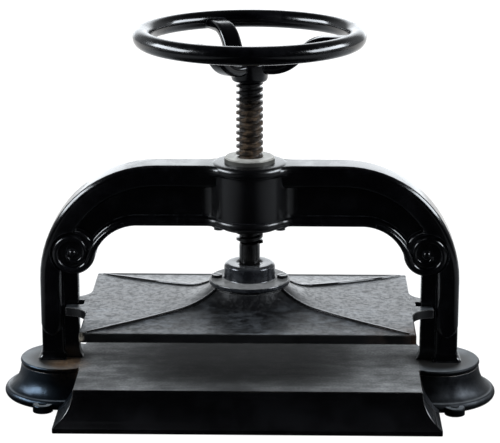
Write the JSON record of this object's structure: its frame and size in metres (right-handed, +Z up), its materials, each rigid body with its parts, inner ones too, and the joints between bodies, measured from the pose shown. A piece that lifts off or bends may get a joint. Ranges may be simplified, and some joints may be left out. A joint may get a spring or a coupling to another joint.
{
  "type": "letter copying press",
  "caption": "Cast-iron letter copying press: a screw with a dished handwheel drives a ribbed platen down on a flat bed, guided by the legs of a scrolled arch.",
  "frame": {"origin": "on the bench under the screw's axis, at the middle of the base's footprint", "axes": "+X to the right along the base, +Y to the back, +Z up along the screw"},
  "size_m": [0.4678, 0.227, 0.3535],
  "materials": {
    "black_paint": "gloss, worn",
    "worn_black": "satin, worn",
    "platen_grey": "satin, worn",
    "screw_steel": "dark, lightly rusted",
    "bronze": "dull",
    "bright_steel": "plain"
  },
  "bodies": {
    "frame": {"base_casting": "worn_black", "arch_casting": "black_paint", "screw_nut": "bronze", "nut_screw_left": "black_paint", "nut_screw_right": "black_paint", "arch_stud_left": "bright_steel", "arch_stud_right": "bright_steel", "arch_washer_left": "bright_steel", "arch_washer_right": "bright_steel", "arch_nut_left": "bright_steel", "arch_nut_right": "bright_steel"},
    "platen": {"platen": "platen_grey", "retaining_cap": "worn_black", "cap_screw_left": "black_paint", "cap_screw_right": "black_paint", "thrust_disc": "bright_steel"},
    "screw": {"press_screw": "screw_steel", "handwheel": "black_paint", "wheel_washer": "bright_steel", "wheel_nut": "black_paint", "thrust_collar": "bright_steel", "collar_pin": "bright_steel"}
  },
  "joints": [
    {"name": "platen_slide", "type": "slide", "parent": "frame", "child": "platen", "axis": [0, 0, 1], "range_m": [-0.0445, 0.0302]},
    {"name": "screw_turn", "type": "hinge", "parent": "platen", "child": "screw", "pos_m": [0, 0, 0.2], "axis": [0, 0, 1], "range_deg": [-2494, 1700]}
  ],
  "couplings": [
    {"joint": "platen_slide", "follows": "screw_turn", "m_per_rad": 0.0010106}
  ]
}
